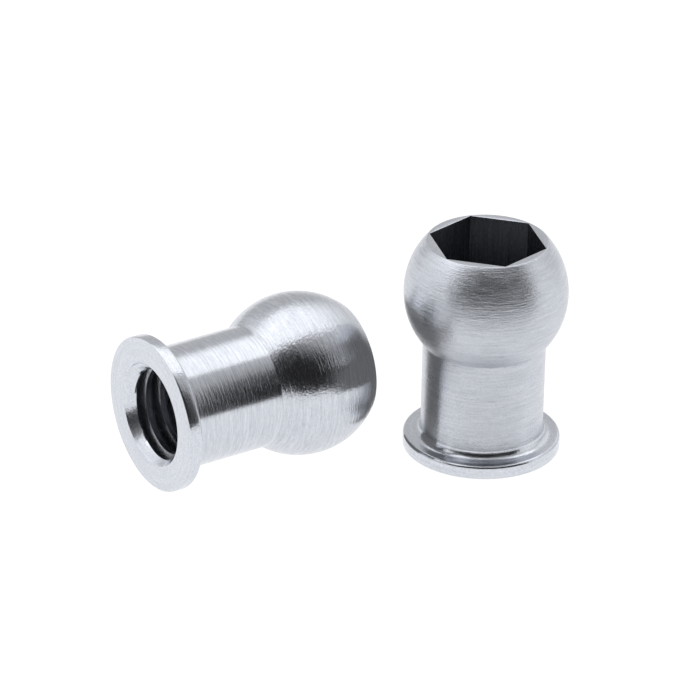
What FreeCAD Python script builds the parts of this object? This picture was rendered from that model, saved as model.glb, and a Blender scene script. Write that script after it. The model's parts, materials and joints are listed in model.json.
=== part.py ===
"""Two flanged pivot balls, the inner members of a rod-end joint: one stands on its flange, one lies beside it.

Millimetres, +Z up. The origin is the centre of the standing ball's seating face, which rests on z = 0.
"""

import FreeCAD, Part
import math
import os

from FreeCAD import Vector

# Driving dimensions of one pivot ball, whose own axis is Z with its seating face on z = 0.
BALL_D = 8.0  # the spherical bearing surface
BALL_CENTRE_H = 8.3  # seating face to the ball's centre
OVERALL_H = 11.0  # seating face to the flat on the ball
NECK_D = 6.0
FLANGE_D = 7.7
FLANGE_T = 0.7
SEAT_BREAK_R = 0.1  # edge of the flange's rim at the seating face
RIM_ROUND_R = 0.15  # edge of the rim towards the neck
NECK_FILLET_R = 0.4  # where the neck runs into the flange

# The bore is the tap drill of an M5 x 0.8 thread, right through into the drive socket.
TAP_DRILL_D = 4.3
COUNTERSINK_D = 5.2
COUNTERSINK_ANGLE = 90.0

# The hexagon socket is broached over a pilot hole, which is just narrower and a little deeper than it.
SOCKET_AF = 5.0
SOCKET_DEPTH = 3.6
PILOT_D = 4.9
PILOT_DEPTH = 4.0
DRILL_POINT_ANGLE = 118.0
SOCKET_TURN = -13.6  # degrees from +X to a corner of the hexagon

# The lying ball: where its centre is over the ground, and which way its drive socket points.
LYING_X = -9.05
LYING_Y = -0.73
LYING_YAW = 32.67  # degrees from +X, seen from above

RIGHT_ANGLE = 90.0
UP = Vector(0, 0, 1)


def half_angle_depth(radial_step, included_angle):
    """The depth over which a cone of that included angle changes in radius by radial_step."""
    return radial_step / math.tan(math.radians(included_angle / 2))


def at(radius, height):
    """A point of the section, in the XZ plane."""
    return Vector(radius, 0, height)


def line(start, end):
    return Part.LineSegment(start, end).toShape()


def arc(centre, radius, from_angle, to_angle):
    """An arc of the section about centre, its angles in degrees from the outward radial direction."""

    def on_arc(angle):
        a = math.radians(angle)
        return centre + at(radius * math.cos(a), radius * math.sin(a))

    middle = (from_angle + to_angle) / 2
    return Part.Arc(on_arc(from_angle), on_arc(middle), on_arc(to_angle)).toShape()


def turned_section():
    """The closed half section of the turned blank: flange, fillet, neck, ball, flat, bore and countersink."""
    ball_r = BALL_D / 2
    neck_r = NECK_D / 2
    flange_r = FLANGE_D / 2
    bore_r = TAP_DRILL_D / 2
    mouth_r = COUNTERSINK_D / 2
    ball_centre = at(0, BALL_CENTRE_H)
    break_centre_r = flange_r - SEAT_BREAK_R
    round_centre_r = flange_r - RIM_ROUND_R
    fillet_centre = at(neck_r + NECK_FILLET_R, FLANGE_T + NECK_FILLET_R)
    neck_angle = -math.degrees(math.acos(neck_r / ball_r))
    flat_angle = math.degrees(math.asin((OVERALL_H - BALL_CENTRE_H) / ball_r))
    neck_top = BALL_CENTRE_H - math.sqrt(ball_r**2 - neck_r**2)
    flat_r = ball_r * math.cos(math.radians(flat_angle))
    countersink_depth = half_angle_depth(mouth_r - bore_r, COUNTERSINK_ANGLE)
    edges = [
        line(at(mouth_r, 0), at(break_centre_r, 0)),
        arc(at(break_centre_r, SEAT_BREAK_R), SEAT_BREAK_R, -90, 0),
        line(at(flange_r, SEAT_BREAK_R), at(flange_r, FLANGE_T - RIM_ROUND_R)),
        arc(at(round_centre_r, FLANGE_T - RIM_ROUND_R), RIM_ROUND_R, 0, 90),
        line(at(round_centre_r, FLANGE_T), at(fillet_centre.x, FLANGE_T)),
        arc(fillet_centre, NECK_FILLET_R, 270, 180),
        line(at(neck_r, fillet_centre.z), at(neck_r, neck_top)),
        arc(ball_centre, ball_r, neck_angle, flat_angle),
        line(at(flat_r, OVERALL_H), at(bore_r, OVERALL_H)),
        line(at(bore_r, OVERALL_H), at(bore_r, countersink_depth)),
        line(at(bore_r, countersink_depth), at(mouth_r, 0)),
    ]
    return Part.Face(Part.Wire(edges))


def drive_socket():
    """The metal that the pilot drill and the broach take out of the ball's flat end."""
    corner_r = SOCKET_AF / 2 / math.cos(math.radians(30))
    corners = []
    for k in range(7):
        a = math.radians(SOCKET_TURN + 60 * k)
        corners.append(Vector(corner_r * math.cos(a), corner_r * math.sin(a), OVERALL_H - SOCKET_DEPTH))
    hexagon = Part.Face(Part.makePolygon(corners)).extrude(UP * (SOCKET_DEPTH + 1))
    pilot_r = PILOT_D / 2
    pilot_floor = OVERALL_H - PILOT_DEPTH
    pilot = Part.makeCylinder(pilot_r, PILOT_DEPTH + 1, Vector(0, 0, pilot_floor))
    bore_r = TAP_DRILL_D / 2
    point_depth = half_angle_depth(pilot_r - bore_r, DRILL_POINT_ANGLE)
    point = Part.makeCone(bore_r, pilot_r, point_depth, Vector(0, 0, pilot_floor - point_depth))
    return hexagon.fuse([pilot, point])


def pivot_ball():
    """One whole pivot ball, standing on its seating face at the origin."""
    blank = turned_section().revolve(Vector(0, 0, 0), UP, 360)
    return blank.cut(drive_socket()).removeSplitter().Solids[0]


def lying_tilt():
    """How far the drive-socket end of a lying ball points up, in degrees.

    It rests on the ball and on the rounded edge of the smaller flange. The ball's centre is a ball radius up,
    and the centre of the rim's round is at the bottom, its own radius up.
    """
    drop = BALL_D / 2 - SEAT_BREAK_R
    along = BALL_CENTRE_H - SEAT_BREAK_R
    across = FLANGE_D / 2 - SEAT_BREAK_R
    return math.degrees(math.asin(drop / math.hypot(along, across)) - math.atan2(across, along))


def laid_down(ball):
    """A standing ball, put on its side with its own centre over (LYING_X, LYING_Y)."""
    lying = ball.copy()
    lying.translate(-UP * BALL_CENTRE_H)
    origin = Vector(0, 0, 0)
    lying.rotate(origin, Vector(0, 1, 0), RIGHT_ANGLE - lying_tilt())
    lying.rotate(origin, UP, LYING_YAW)
    lying.translate(Vector(LYING_X, LYING_Y, BALL_D / 2))
    return lying


os.makedirs("parts", exist_ok=True)
upright = pivot_ball()
lying = laid_down(upright)
nodes = {"pivot_ball_upright": upright, "pivot_ball_lying": lying}
for name, shape in nodes.items():
    shape.exportStep(f"parts/{name}.step")
    box = shape.optimalBoundingBox(True, False)
    print(f"{name}: valid {shape.isValid()}, {shape.Volume:.2f} mm3, z from {box.ZMin:.4f} to {box.ZMax:.3f}")
print(f"tilt of the lying ball {lying_tilt():.3f} degrees, gap between the balls {upright.distToShape(lying)[0]:.3f}")
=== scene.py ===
# %% [markdown]
# # Two flanged pivot balls in bright turned steel
# A pivot ball is the inner member of a small rod-end joint: a flange that seats on an arm, a plain neck,
# and a ball that a cup swivels on. A screw enters at the flange, and a hexagon key holds the ball from the
# other end. One stands on its flange and one lies on its side. Each is machined from one bar, so each is
# one mesh.
#
# The measured model comes first. It says where each ball is and how big it is, and nothing here moves it.

# %% Load the measured frame
import bisect
import json
import math

import bmesh
import bpy
from mathutils import Matrix, Vector


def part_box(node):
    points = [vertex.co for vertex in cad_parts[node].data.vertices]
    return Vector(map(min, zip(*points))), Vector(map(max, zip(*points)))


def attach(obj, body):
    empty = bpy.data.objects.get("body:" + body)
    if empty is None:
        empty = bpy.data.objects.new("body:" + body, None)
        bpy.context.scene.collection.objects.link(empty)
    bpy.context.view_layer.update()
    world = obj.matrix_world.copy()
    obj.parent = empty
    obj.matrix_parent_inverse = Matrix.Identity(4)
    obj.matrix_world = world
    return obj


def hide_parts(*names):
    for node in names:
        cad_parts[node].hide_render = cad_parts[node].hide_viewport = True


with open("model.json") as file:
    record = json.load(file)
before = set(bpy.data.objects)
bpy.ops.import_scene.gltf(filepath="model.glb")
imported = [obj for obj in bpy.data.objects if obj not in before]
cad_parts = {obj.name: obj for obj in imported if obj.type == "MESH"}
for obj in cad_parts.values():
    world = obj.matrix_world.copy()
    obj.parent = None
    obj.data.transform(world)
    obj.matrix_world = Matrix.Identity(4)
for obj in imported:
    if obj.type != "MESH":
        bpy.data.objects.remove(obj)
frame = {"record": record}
bpy.context.view_layer.update()
mounts = {m["name"]: m for m in frame["record"]["mounts"]}

# %% [markdown]
# The lengths below are in millimetres, because that is how a turner reads a drawing. What the frame can
# tell is read from it: the ball's radius is the height of the lying ball's centre, because it rests on the
# floor, and the bore's radius is on its mount. The other sizes are the drawing's own.

# %% Sizes of one pivot ball
MM = 0.001
BALL_R = mounts["lying_ball"]["pos_m"][2] / MM
BALL_H = mounts["upright_ball"]["pos_m"][2] / MM
BORE_R = mounts["upright_thread"]["dims"]["r_mm"]
OVERALL_H = round(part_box("pivot_ball_upright")[1].z / MM, 3)
NECK_R = 3.0
FLANGE_R = 3.85
FLANGE_T = 0.7
SEAT_BREAK = 0.1
RIM_ROUND = 0.15
FLANGE_FILLET = 0.4
TOOL_NOSE_R = 0.08
MOUTH_R = 2.6
SOCKET_AF = 5.0
SOCKET_FLOOR = OVERALL_H - 3.6
PILOT_R = 2.45
PILOT_FLOOR = OVERALL_H - 4.0
THREAD_PITCH = 0.8
THREAD_MAJOR_R = 2.52
SOCKET_TURN = math.radians(-13.6)
print("ball radius", round(BALL_R, 3), "height", OVERALL_H, "bore radius", BORE_R)

# %% [markdown]
# ## The turned outside
# On a lathe the whole outside is one path of the tool: out over the flange's rim, in through the fillet, up
# the neck, round the ball and in over the flat. So one outline, spun about the axis, gives flange, neck and
# ball in one skin, with the tiny radii that catch the light. Separate primitives would need joining and
# would leave a seam at the neck, where the real part has only the corner that the tool's nose leaves.


# %% The outline, as points of (radius, height)
def arc(centre_r, centre_h, radius, from_deg, to_deg, steps):
    """Points of an arc, angles in degrees from the outward direction."""
    turn = [math.radians(from_deg + (to_deg - from_deg) * k / steps) for k in range(steps + 1)]
    return [(centre_r + radius * math.cos(a), centre_h + radius * math.sin(a)) for a in turn]


# The nose radius touches the neck from outside and the ball from outside, which fixes its centre.
nose_drop = math.sqrt((BALL_R + TOOL_NOSE_R) ** 2 - (NECK_R + TOOL_NOSE_R) ** 2)
nose_deg = math.degrees(math.atan2(nose_drop, NECK_R + TOOL_NOSE_R))
flat_deg = math.degrees(math.asin((OVERALL_H - BALL_H) / BALL_R))
HEX_STEP = math.radians(60)
corner_r = SOCKET_AF / 2 / math.cos(HEX_STEP / 2)
SINK_H = 0.03
SINK_DEPTH = 0.46
COUNTERSINK = math.tan(math.radians(45))
DRILL_POINT = math.tan(math.radians(59))

flange = [(MOUTH_R - SINK_H * COUNTERSINK, SINK_H), (MOUTH_R, 0)]
flange += arc(FLANGE_R - SEAT_BREAK, SEAT_BREAK, SEAT_BREAK, -90, 0, 6)
flange += arc(FLANGE_R - RIM_ROUND, FLANGE_T - RIM_ROUND, RIM_ROUND, 0, 90, 8)
flange += arc(NECK_R + FLANGE_FILLET, FLANGE_T + FLANGE_FILLET, FLANGE_FILLET, 270, 180, 12)
neck = [(NECK_R, BALL_H - nose_drop)]
ball = arc(NECK_R + TOOL_NOSE_R, BALL_H - nose_drop, TOOL_NOSE_R, 180, 180 - nose_deg, 4)[1:]
ball += arc(0, BALL_H, BALL_R, -nose_deg, flat_deg, 56)[1:]
flat = [(corner_r, OVERALL_H)]
socket = [(corner_r, SOCKET_FLOOR), (PILOT_R, SOCKET_FLOOR), (PILOT_R, PILOT_FLOOR)]
print("outline points:", len(flange + neck + ball + flat + socket))


# %% [markdown]
# Each point also keeps how far along the tool's path it lies. The finish needs that number: tool lines are
# rings at a constant place on the path, whether the tool moves up the neck, round the ball or across a
# face. A bmesh layer holds it, and the spin copies the layer to every new vertex.


# %% Spin an outline into a skin
STEPS = 192
MERGE = 2e-6  # metres; vertices nearer than this are one


def spun(outline, rise=0.0):
    """A bmesh of the outline turned once about Z, rising by rise millimetres, with its path layer filled."""
    bm = bmesh.new()
    path = bm.verts.layers.float.new("path")
    here = 0.0
    verts = []
    for k, (r, h) in enumerate(outline):
        here += math.dist(outline[max(k - 1, 0)], (r, h))
        vert = bm.verts.new((r * MM, 0, h * MM))
        vert[path] = here
        verts.append(vert)
    edges = [bm.edges.new(pair) for pair in zip(verts, verts[1:])]
    bmesh.ops.spin(
        bm, geom=verts + edges, cent=(0, 0, 0), axis=(0, 0, 1), dvec=(0, 0, rise * MM / STEPS),
        angle=math.tau, steps=STEPS, use_merge=rise == 0, use_normal_flip=False, use_duplicate=False,
    )
    bmesh.ops.remove_doubles(bm, verts=bm.verts, dist=MERGE)
    return bm


FACED, NECKED, BALLED, BROACHED, TAPPED = range(5)
runs = [(FACED, flange), (NECKED, neck), (BALLED, ball), (FACED, flat), (BROACHED, socket)]
outline = [point for _, points in runs for point in points]
body = spun(outline)
path = body.verts.layers.float["path"]
print("skin:", len(body.faces), "faces")

# %% [markdown]
# Three tools finish this skin: a fine one faces the flange and the flat, a quicker one turns the neck and
# the ball, and a punch broaches the socket. The path layer tells which tool made which face.

# %% Give each face its finish
run_ends = []
for k in range(1, len(runs) + 1):
    points = [point for _, some in runs[:k] for point in some]
    run_ends.append(sum(math.dist(a, b) for a, b in zip(points, points[1:])))
for face in body.faces:
    middle = sum(vert[path] for vert in face.verts) / len(face.verts)
    face.material_index = runs[bisect.bisect(run_ends, middle)][0]
print("tool path, mm:", [round(end, 2) for end in run_ends])

# %% [markdown]
# The drive socket is broached: a six-sided punch widens a round pilot hole. Its two rings were spun at the
# radius of the hexagon's corners, so pulling every vertex in to the hexagon's flats makes the socket, and
# the ring of 192 steps has a vertex at each corner, because 192 divides by six.

# %% Pull the socket's rings in to a hexagon
NEAR = 1e-3
for vert in body.verts:
    r = math.hypot(vert.co.x, vert.co.y)
    if abs(r / MM - corner_r) < NEAR and vert.co.z / MM > SOCKET_FLOOR - NEAR:
        from_corner = math.atan2(vert.co.y, vert.co.x) % HEX_STEP
        shrink = math.cos(HEX_STEP / 2) / math.cos(from_corner - HEX_STEP / 2)
        vert.co.x *= shrink
        vert.co.y *= shrink
        if vert.co.z / MM > OVERALL_H - NEAR:
            vert[path] += r * (1 - shrink) / MM
body.normal_update()

# %% [markdown]
# No real edge is perfectly sharp. Every hard edge of the skin gets a break of a few hundredths of a
# millimetre, because it is the break that glints. A bevel does this in one step where the edges can be
# picked by angle.

# %% Break the hard edges
EDGE_BREAK = 0.02
HARD_ANGLE = math.radians(27)
hard = [e for e in body.edges if len(e.link_faces) == 2 and e.calc_face_angle() > HARD_ANGLE]
bmesh.ops.bevel(
    body, geom=hard, offset=EDGE_BREAK * MM, offset_type="OFFSET", segments=2, profile=0.5, affect="EDGES",
    material=-1, clamp_overlap=True,
)
print("hard edges:", len(hard), "faces now:", len(body.faces))

# %% [markdown]
# ## The tapped bore
# A thread is a groove that climbs one pitch in every turn. So the section of several grooves is spun a full
# turn with a rise of one pitch, and the end of each groove meets the start of the next. The countersink's
# cone, the drill point's cone and the tap's tapered lead then limit the radius of every vertex, which cuts
# the first and last threads off just as those tools do. What lies past either end is pressed flat onto the
# skin's open ring there, so the two shells share their vertices and merge into one solid.

# %% Cut the thread
SINK_SLACK, CREST_SLACK = 0.02, 0.01
GROOVE_FLAT = THREAD_PITCH / 8
GROOVE_DEPTH = THREAD_MAJOR_R - BORE_R
FLANK_ANGLE = math.radians(30)
LEAD_START, LEAD_END = 5.2, 6.4
FIRST_GROOVE, LAST_GROOVE = -1, 9
flank = GROOVE_DEPTH * math.tan(FLANK_ANGLE)
crest = THREAD_PITCH - GROOVE_FLAT - 2 * flank
groove = []
for k in range(FIRST_GROOVE, LAST_GROOVE + 1):
    start = k * THREAD_PITCH
    groove += [(BORE_R, start + crest * j / 3) for j in range(4)]
    groove += [(BORE_R + GROOVE_DEPTH * j / 5, start + crest + flank * j / 5) for j in range(1, 6)]
    far_side = start + crest + flank + GROOVE_FLAT
    groove += [(THREAD_MAJOR_R - GROOVE_DEPTH * j / 5, far_side + flank * j / 5) for j in range(5)]
thread = spun(groove, rise=THREAD_PITCH)
thread_path = thread.verts.layers.float["path"]
for vert in thread.verts:
    r = math.hypot(vert.co.x, vert.co.y) / MM
    h = min(max(vert.co.z / MM, SINK_H), PILOT_FLOOR)
    lead = BORE_R + GROOVE_DEPTH * min(1, max(0, (LEAD_END - h) / (LEAD_END - LEAD_START)))
    new_r = max(min(r, lead), MOUTH_R - h * COUNTERSINK, PILOT_R - (PILOT_FLOOR - h) * DRILL_POINT)
    vert.co = (vert.co.x * new_r / r, vert.co.y * new_r / r, h * MM)
    vert[thread_path] = h
bmesh.ops.remove_doubles(thread, verts=thread.verts, dist=MERGE)
for face in thread.faces:
    middle = face.calc_center_median() / MM
    r = math.hypot(middle.x, middle.y)
    in_sink = r > MOUTH_R - middle.z * COUNTERSINK - SINK_SLACK and middle.z < SINK_DEPTH
    # The crests are what the tap leaves of the drilled hole, so they are as smooth as the countersink.
    face.material_index = FACED if in_sink or r < BORE_R + CREST_SLACK else TAPPED
print("thread:", len(thread.faces), "faces")

# %% Join skin and thread into one solid
thread_mesh = bpy.data.meshes.new("thread_only")
thread.to_mesh(thread_mesh)
thread.free()
body.from_mesh(thread_mesh)
bpy.data.meshes.remove(thread_mesh)
bmesh.ops.remove_doubles(body, verts=body.verts, dist=MERGE)
bmesh.ops.dissolve_degenerate(body, edges=body.edges, dist=MERGE / 10)
bmesh.ops.recalc_face_normals(body, faces=body.faces)
if body.calc_volume(signed=True) < 0:
    bmesh.ops.reverse_faces(body, faces=body.faces)
print("one ball:", len(body.faces), "faces, open edges", sum(e.is_boundary for e in body.edges))
print("steel in one ball, mm3:", round(body.calc_volume() / MM ** 3, 2))

# %% [markdown]
# ## Place both balls
# Both balls are the same mesh, so it is built once and copied. The frame's mounts say where each ball's
# centre is and which way its socket points. The place goes into the mesh and the object stays at the
# origin. Two attributes ride on the mesh for the finish: "lathe" holds the ball's own x and y and the tool
# path, in millimetres, and "hoop" the direction in which the work turned past the tool.


# %% Copy the mesh to each ball's place
SHARP_ANGLE = math.radians(24)


def placed_ball(name, node, body_name, centre, axis):
    """The finished mesh of one ball, its centre and axis from the frame, standing for its CAD node."""
    axis = Vector(axis)
    lean = Matrix.Rotation(math.acos(min(1, axis.z)), 4, "Y")
    yaw = Matrix.Rotation(math.atan2(axis.y, axis.x), 4, "Z")
    turn = yaw @ lean
    place = Matrix.Translation(Vector(centre)) @ turn @ Matrix.Translation((0, 0, -BALL_H * MM))
    bm = body.copy()
    bmesh.ops.rotate(bm, verts=bm.verts, cent=(0, 0, 0), matrix=Matrix.Rotation(SOCKET_TURN, 3, "Z"))
    path = bm.verts.layers.float["path"]
    lathe = [(v.co.x / MM, v.co.y / MM, v[path]) for v in bm.verts]
    hoop = [turn @ Vector((-v.co.y, v.co.x, 0)).normalized() for v in bm.verts]
    bmesh.ops.transform(bm, matrix=place, verts=bm.verts)
    mesh = bpy.data.meshes.new(name)
    bm.to_mesh(mesh)
    bm.free()
    for label, values in (("lathe", lathe), ("hoop", hoop)):
        attribute = mesh.attributes.new(label, "FLOAT_VECTOR", "POINT")
        attribute.data.foreach_set("vector", [x for v in values for x in v])
    mesh.shade_smooth()
    mesh.set_sharp_from_angle(angle=SHARP_ANGLE)
    piece = bpy.data.objects.new(name, mesh)
    bpy.context.scene.collection.objects.link(piece)
    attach(piece, body_name)
    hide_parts(node)
    return piece


balls = []
for side in ("upright", "lying"):
    spot = mounts[f"{side}_ball"]
    balls.append(
        placed_ball(f"turned_ball_{side}", f"pivot_ball_{side}", f"{side}_ball", spot["pos_m"], spot["axis"])
    )
    print(balls[-1].name, len(balls[-1].data.polygons), "faces")
body.free()


# %% [markdown]
# ## Bright steel, seven finishes
# The part is free-cutting steel, bare and bright. What tells one area from another is how it was cut, so
# each part has five finishes: the faced flange and flat, the turned neck, the turned ball, the broached
# socket and the tapped thread. The neck and the ball differ between the two parts, which makes seven
# materials of one metal. Marks could be painted on an unwrapped surface, but noise that follows the cut
# needs no unwrapping and stays sharp close up, so all seven read the "lathe" attribute.


# %% Helpers for materials
def colour(code):
    """An sRGB hex code as the linear colour that Blender works in."""
    channels = [int(code[k:k + 2], 16) / 255 for k in (1, 3, 5)]
    return [c / 12.92 if c <= 0.04045 else ((c + 0.055) / 1.055) ** 2.4 for c in channels] + [1]


def add(tree, kind, inputs=None, links=None, **settings):
    """Adds one node with its settings, its input values and the sockets that feed it."""
    node = tree.nodes.new(kind)
    for name, value in settings.items():
        setattr(node, name, value)
    for name, value in (inputs or {}).items():
        node.inputs[name].default_value = value
    for name, socket in (links or {}).items():
        tree.links.new(socket, node.inputs[name])
    return node


def new_material(name):
    """A new material with an empty node tree."""
    material = bpy.data.materials.new(name)
    material.use_nodes = True
    material.node_tree.nodes.clear()
    return material, material.node_tree


# %% [markdown]
# Tool marks are noise that is stretched along the cut: it changes slowly one way and quickly across the
# marks. Each scale below is how many times the noise changes in a millimetre of the ball's own x, its own
# y, and the tool's path. The marks tilt the surface and change its gloss, and the colour follows their
# height, so their grooves are a little darker: painted shade in the marks.
#
# Steel with fine parallel marks also blurs a reflection far more across the marks than along them. The
# shader takes that as one roughness and one anisotropy, so the two blurs of a real finish are turned into
# those.


# %% Steel, by how it was cut
GRAIN, GLOSS_PATCH = (9, 9, 9), (0.5, 0.5, 0.8)
GLOSS_SWING = 0.15


def cut_steel(
    name, dark, bright, blur_path, blur_round, mark_depth, broad, fine, grain_share, crosswise=True
):
    """Bare steel with tool marks; mark_depth in metres, crosswise when the marks run round the work."""
    material, tree = new_material(name)
    lathe = add(tree, "ShaderNodeAttribute", attribute_name="lathe")
    hoop = add(tree, "ShaderNodeAttribute", attribute_name="hoop")
    noise = {}
    for key, scale in {"broad": broad, "fine": fine, "grain": GRAIN, "patch": GLOSS_PATCH}.items():
        place = add(
            tree, "ShaderNodeVectorMath", {1: scale}, {0: lathe.outputs["Vector"]}, operation="MULTIPLY"
        )
        noise[key] = add(
            tree, "ShaderNodeTexNoise", {"Scale": 1.0, "Detail": 2.0, "Roughness": 0.55},
            {"Vector": place.outputs[0]},
        ).outputs["Fac"]
    marks = add(tree, "ShaderNodeMix", {0: 0.5}, {2: noise["broad"], 3: noise["fine"]}, data_type="FLOAT")
    height = add(
        tree, "ShaderNodeMix", {0: grain_share}, {2: marks.outputs[0], 3: noise["grain"]}, data_type="FLOAT"
    )
    bump = add(
        tree, "ShaderNodeBump", {"Strength": 1.0, "Distance": mark_depth}, {"Height": height.outputs[0]}
    )
    # The colour follows the height of the marks, darker in their grooves: painted shade, mixed with random
    # grain tone.
    tone_and_groove_shade = add(
        tree, "ShaderNodeMapRange", {"From Min": 0.32, "From Max": 0.68, "To Min": 0.0, "To Max": 1.0},
        {"Value": height.outputs[0]},
    )
    metal = add(
        tree, "ShaderNodeMix", {6: colour(dark), 7: colour(bright)}, {0: tone_and_groove_shade.outputs["Result"]},
        data_type="RGBA",
    )
    across, beside = (blur_path, blur_round) if crosswise else (blur_round, blur_path)
    roughness = (across * beside) ** 0.25
    anisotropy = (1 - beside / across) / 0.9
    gloss = add(tree, "ShaderNodeMix", {0: 0.5}, {2: noise["patch"], 3: noise["fine"]}, data_type="FLOAT")
    rough = add(
        tree, "ShaderNodeMapRange",
        {
            "From Min": 0.3, "From Max": 0.7,
            "To Min": roughness * (1 - GLOSS_SWING), "To Max": roughness * (1 + GLOSS_SWING),
        },
        {"Value": gloss.outputs[0]},
    )
    shader = add(
        tree, "ShaderNodeBsdfPrincipled",
        {
            "Metallic": 1.0, "Anisotropic": anisotropy,
            "Anisotropic Rotation": 0.25 if crosswise else 0.0,
        },
        {
            "Base Color": metal.outputs[2], "Roughness": rough.outputs["Result"],
            "Normal": bump.outputs["Normal"], "Tangent": hoop.outputs["Vector"],
        },
    )
    add(tree, "ShaderNodeOutputMaterial", links={"Surface": shader.outputs["BSDF"]})
    print(name, "roughness", round(roughness, 3), "anisotropy", round(anisotropy, 2))
    return material


# %% [markdown]
# Real fine-turned marks are 0.03 to 0.08 mm wide. The broad ones are drawn 0.10 to 0.16 mm wide so that
# they show, and the fine ones stay in the real range. The faced flange is the smoothest and has tiny dents
# from handling, so much of its relief is round grain. The neck has shallow marks, and the ball, turned by a
# tool that swings round it, has deeper ones, which is why its reflections are softer. The upright part
# looks as if it had been turned with a blunter tool, so its neck and ball are satin where the lying one's
# are bright.

# %% The turned finishes
FEED, FINE_FEED, FACING_FEED = (0.6, 0.6, 9), (2, 2, 24), (0.5, 0.5, 8)
faced = cut_steel("steel_fine_faced", "#C2C6CE", "#DEE1E8", 0.07, 0.03, 1.0e-5, FACING_FEED, FINE_FEED, 0.5)
bright_neck = cut_steel("steel_bright_neck", "#BABEC6", "#DCDFE6", 0.055, 0.03, 1.2e-5, FEED, FINE_FEED, 0.15)
bright_ball = cut_steel("steel_bright_ball", "#B8BCC4", "#DCDFE6", 0.08, 0.035, 3.5e-5, FEED, FINE_FEED, 0.25)
satin_neck = cut_steel("steel_satin_neck", "#B6BAC2", "#D8DBE2", 0.17, 0.04, 2.5e-5, FEED, FINE_FEED, 0.25)
satin_ball = cut_steel("steel_satin_ball", "#B6BAC2", "#D8DBE2", 0.19, 0.05, 4.0e-5, FEED, FINE_FEED, 0.25)

# %% [markdown]
# A broach scrapes lines down the walls of the socket, so its marks run the other way, along the hole. The
# tap cuts the thread with marks that follow the groove round. Both are seen deep in a hole, where light has
# bounced several times, and both are coloured much darker than the outside: painted shade for the dark hole.

# %% The two finishes inside the holes
SCRAPE, FINE_SCRAPE = (7, 7, 0.3), (18, 18, 0.8)
# The broached colours are darker than the outside steel: painted shade for the deep socket.
broached = cut_steel(
    "steel_broached_painted_shade", "#63666B", "#94979C", 0.05, 0.14, 2.5e-5, SCRAPE, FINE_SCRAPE, 0.2, crosswise=False
)
# The tapped colours are darker as well: painted shade in the thread's grooves, while the crests keep the
# faced colour.
tapped = cut_steel("steel_tapped_painted_shade", "#74777C", "#BFC2C8", 0.06, 0.04, 1.5e-5, FEED, FINE_FEED, 0.3)
for ball, neck_finish, ball_finish in zip(balls, (satin_neck, bright_neck), (satin_ball, bright_ball)):
    for finish in (faced, neck_finish, ball_finish, broached, tapped):
        ball.data.materials.append(finish)

# %% [markdown]
# ## The studio
# The parts are about as big as a finger tip, so they are seen from 29 cm away through a long lens, which
# keeps the two ends of a part nearly the same size. The camera looks down at 27 degrees and is rolled by a
# degree. Its axes are built from those angles, so that nothing depends on a saved scene.

# %% Camera
CAMERA_PITCH = math.radians(26.88)
CAMERA_ROLL = math.radians(1.33)
CAMERA_DISTANCE = 290.4
LOOK_AT = Vector((-6.52, 9.74, 0.0)) * MM
LENS_MM = 295.4

forward = Vector((0, math.cos(CAMERA_PITCH), -math.sin(CAMERA_PITCH)))
right = Vector((1, 0, 0))
up = right.cross(forward)
level_right = math.cos(CAMERA_ROLL) * right + math.sin(CAMERA_ROLL) * up
level_up = math.cos(CAMERA_ROLL) * up - math.sin(CAMERA_ROLL) * right
lens = bpy.data.cameras.new("camera")
lens.lens = LENS_MM
lens.sensor_width = 36
lens.clip_start = 0.01
camera = bpy.data.objects.new("camera", lens)
bpy.context.scene.collection.objects.link(camera)
turn = Matrix((level_right, level_up, -forward)).transposed().to_4x4()
camera.matrix_world = Matrix.Translation(LOOK_AT - forward * CAMERA_DISTANCE * MM) @ turn
bpy.context.scene.camera = camera
print("camera stands at, mm:", [round(c / MM, 1) for c in camera.matrix_world.translation])


# %% [markdown]
# The parts lie on a light table: a sheet of white acrylic, lit from below, which throws no shadow. It could
# be a bright paper sweep, but paper would go grey under the parts, and bright steel shows what is under it.
# So the sheet mostly glows and reflects only a little light. The table ends in front of the parts, and
# beyond it the room is dark: that edge is the sharp line along the lower side of each reflection. The dark
# sheet that stands for it lies outside the picture and is hidden from the camera.


# %% Light table and its dark edge
def laid_sheet(name, centre, size, material):
    """A flat sheet on the floor, centre and size in millimetres."""
    bm = bmesh.new()
    bmesh.ops.create_grid(bm, x_segments=1, y_segments=1, size=0.5)
    bmesh.ops.scale(bm, vec=Vector((*size, 1)) * MM, verts=bm.verts)
    bmesh.ops.translate(bm, vec=Vector(centre) * MM, verts=bm.verts)
    mesh = bpy.data.meshes.new(name)
    bm.to_mesh(mesh)
    bm.free()
    mesh.materials.append(material)
    sheet = bpy.data.objects.new(name, mesh)
    bpy.context.scene.collection.objects.link(sheet)
    return sheet


acrylic, tree = new_material("acrylic_light_table")
white = add(tree, "ShaderNodeBsdfDiffuse", {"Color": colour("#505050")})
lit = add(tree, "ShaderNodeEmission", {"Color": colour("#FFFFFF"), "Strength": 1.0})
both = add(tree, "ShaderNodeAddShader", links={0: white.outputs[0], 1: lit.outputs[0]})
add(tree, "ShaderNodeOutputMaterial", links={"Surface": both.outputs[0]})
FLOOR_SIDE = 6000
laid_sheet("floor", (0, 0, 0), (FLOOR_SIDE, FLOOR_SIDE), acrylic)

black, tree = new_material("black_velvet")
cloth = add(tree, "ShaderNodeBsdfDiffuse", {"Color": colour("#101010")})
add(tree, "ShaderNodeOutputMaterial", links={"Surface": cloth.outputs[0]})
TABLE_FRONT, EDGE_H = -92, 0.2
EDGE_WIDTH, EDGE_DEPTH = 3000, 2000
edge = laid_sheet(
    "dark_table_edge", (0, TABLE_FRONT - EDGE_DEPTH / 2, EDGE_H), (EDGE_WIDTH, EDGE_DEPTH), black
)
edge.visible_camera = False
print("floor and dark table edge, materials:", acrylic.name, black.name)
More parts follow.
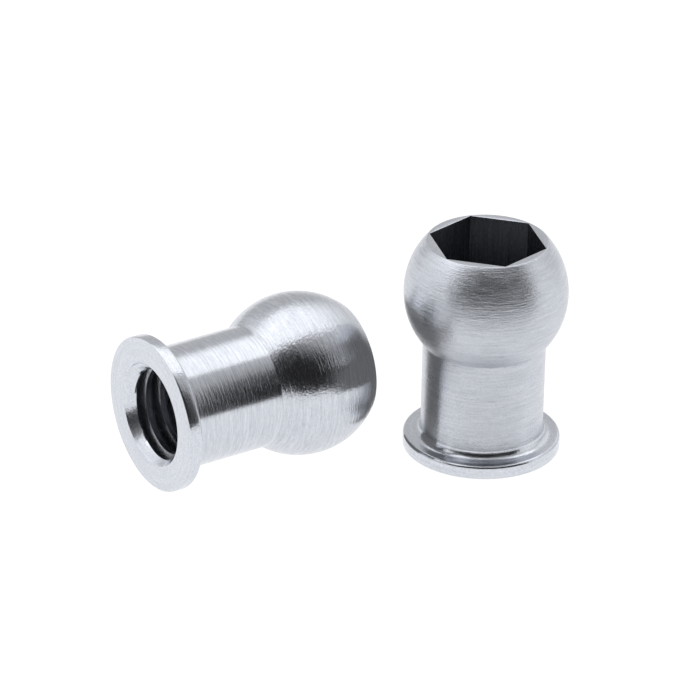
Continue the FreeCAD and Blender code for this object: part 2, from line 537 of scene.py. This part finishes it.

# %% [markdown]
# Two shiny parts side by side mirror each other's bright side, and their facing edges fade into the
# background.
# The floor between them lies in their shade, and the steel mirrors it dark. The glowing light table throws no
# shade, so a dim glowing card between the parts paints that shade: it isn't seen itself, only as the dark
# area that gives each part its edge. One card stands between the parts, and a narrow strip reaches forward
# from it.

# %% Grey cards between the parts, as painted shade
grey, tree = new_material("painted_shade_card")
# The cards glow dimly and stand for the shaded floor between the parts: painted shade seen only in the steel.
SHADE_CARD_GLOW = 0.18
painted_shade_glow = add(tree, "ShaderNodeEmission", {"Color": colour("#FFFFFF"), "Strength": SHADE_CARD_GLOW})
add(tree, "ShaderNodeOutputMaterial", links={"Surface": painted_shade_glow.outputs[0]})
CARD_X = -4.55
for name, (y_low, y_high), (z_low, z_high) in (
    ("shade_card_between", (-2.2, 0.6), (0.2, 7.8)), ("shade_card_in_front", (-6.0, -2.2), (4.2, 6.6)),
):
    card = laid_sheet(name, (0, 0, 0), (z_high - z_low, y_high - y_low), grey)
    stand = Matrix.Rotation(math.radians(90), 4, "Y")
    card.data.transform(
        Matrix.Translation(Vector((CARD_X, (y_low + y_high) / 2, (z_low + z_high) / 2)) * MM) @ stand
    )
    card.visible_camera = False
    print(name, "from y", y_low, "to", y_high, "mm and from z", z_low, "to", z_high, "mm")

# %% [markdown]
# ## The light tent
# Bare steel is nearly a mirror, so what surrounds it is most of its look. Here that is a tent of white
# cloth round a light table, lit softly through its walls, brightest overhead where a panel hangs, and open
# towards the camera. The dark opening gives the steel its dark bands. Area lights would give bright spots
# but no wide even walls, so the tent is painted on the world as patches round a direction. A patch that
# spans almost a right angle is half of the sky, and its rim is a straight edge: such halves cut out the
# panel and the opening.

# %% World
world = bpy.data.worlds.new("light_tent")
world.use_nodes = True
tree = world.node_tree
tree.nodes.clear()
direction = add(tree, "ShaderNodeTexCoord").outputs["Generated"]


def patch(azimuth, elevation, inner, outer, radiance):
    """Light from round one direction, even within inner degrees of it and gone beyond outer degrees."""
    a, e = math.radians(azimuth), math.radians(elevation)
    centre = (math.sin(a) * math.cos(e), math.cos(a) * math.cos(e), math.sin(e))
    near = add(tree, "ShaderNodeVectorMath", {1: centre}, {0: direction}, operation="DOT_PRODUCT")
    return add(
        tree, "ShaderNodeMapRange",
        {
            "From Min": math.cos(math.radians(outer)), "From Max": math.cos(math.radians(inner)),
            "To Max": radiance,
        },
        {"Value": near.outputs["Value"]}, interpolation_type="SMOOTHSTEP",
    ).outputs["Result"]


def combined(operation, *sockets):
    """The sum or product of several sockets."""
    result = sockets[0]
    for socket in sockets[1:]:
        result = add(tree, "ShaderNodeMath", links={0: result, 1: socket}, operation=operation).outputs[0]
    return result


# %% [markdown]
# The walls are even, a little brighter to the left, to the right and behind on the right. The opening has a
# crisp right edge and a soft left one, where the cloth hangs in a curve. Above it the room fades in under
# the panel.

# %% Walls, panel and opening
CLOTH_RADIANCE, DIM_RADIANCE = 0.6, 0.015
cloth_light = add(tree, "ShaderNodeValue").outputs[0]
cloth_light.default_value = CLOTH_RADIANCE
left, right_side, behind = patch(-90, 22, 18, 52, 0.5), patch(88, 16, 14, 34, 0.35), patch(32, 30, 8, 26, 0.4)
walls = combined("ADD", cloth_light, left, right_side, behind)
behind_front_edge = patch(-22, 15.5, 88.5, 91.5, 1.0)
behind_right_edge = patch(-37.5, 13.4, 88.5, 91.5, 1.0)
panel = combined("MULTIPLY", patch(0, 88, 40, 47, 0.85), behind_front_edge, behind_right_edge)
in_front = add(tree, "ShaderNodeMath", {0: 1.0}, {1: behind_front_edge}, operation="SUBTRACT").outputs[0]
opening = combined("MULTIPLY", patch(200, 0, 89, 95, 1.0), patch(140, 0, 70, 138, 1.0), in_front)
cloth_there = add(tree, "ShaderNodeMath", {0: 1.0}, {1: opening}, operation="SUBTRACT").outputs[0]
room = combined("ADD", patch(170, 90, 6, 38, 0.38), patch(125, 60, 8, 20, 0.3))
dim = add(tree, "ShaderNodeValue").outputs[0]
dim.default_value = DIM_RADIANCE
light = combined(
    "ADD", combined("MULTIPLY", walls, cloth_there), combined("MULTIPLY", room, opening), panel, dim,
)

# %% [markdown]
# What the camera sees past the table is plain white, like the table, so that no horizon shows. Only that
# view of the background is white: the steel still mirrors the tent.

# %% White background
is_camera = add(tree, "ShaderNodeLightPath").outputs["Is Camera Ray"]
seen = add(tree, "ShaderNodeMix", {3: 1.0}, {0: is_camera, 2: light}, data_type="FLOAT")
background = add(tree, "ShaderNodeBackground", {"Color": (1, 1, 1, 1)}, {"Strength": seen.outputs[0]})
add(tree, "ShaderNodeOutputWorld", links={"Surface": background.outputs[0]})
bpy.context.scene.world = world
print("light tent:", len(tree.nodes), "nodes")


# %% [markdown]
# Steel on white needs its full range of brightness, so the plain display curve is used.

# %% Display curve
bpy.context.scene.view_settings.view_transform = "Standard"
bpy.context.scene.view_settings.look = "None"
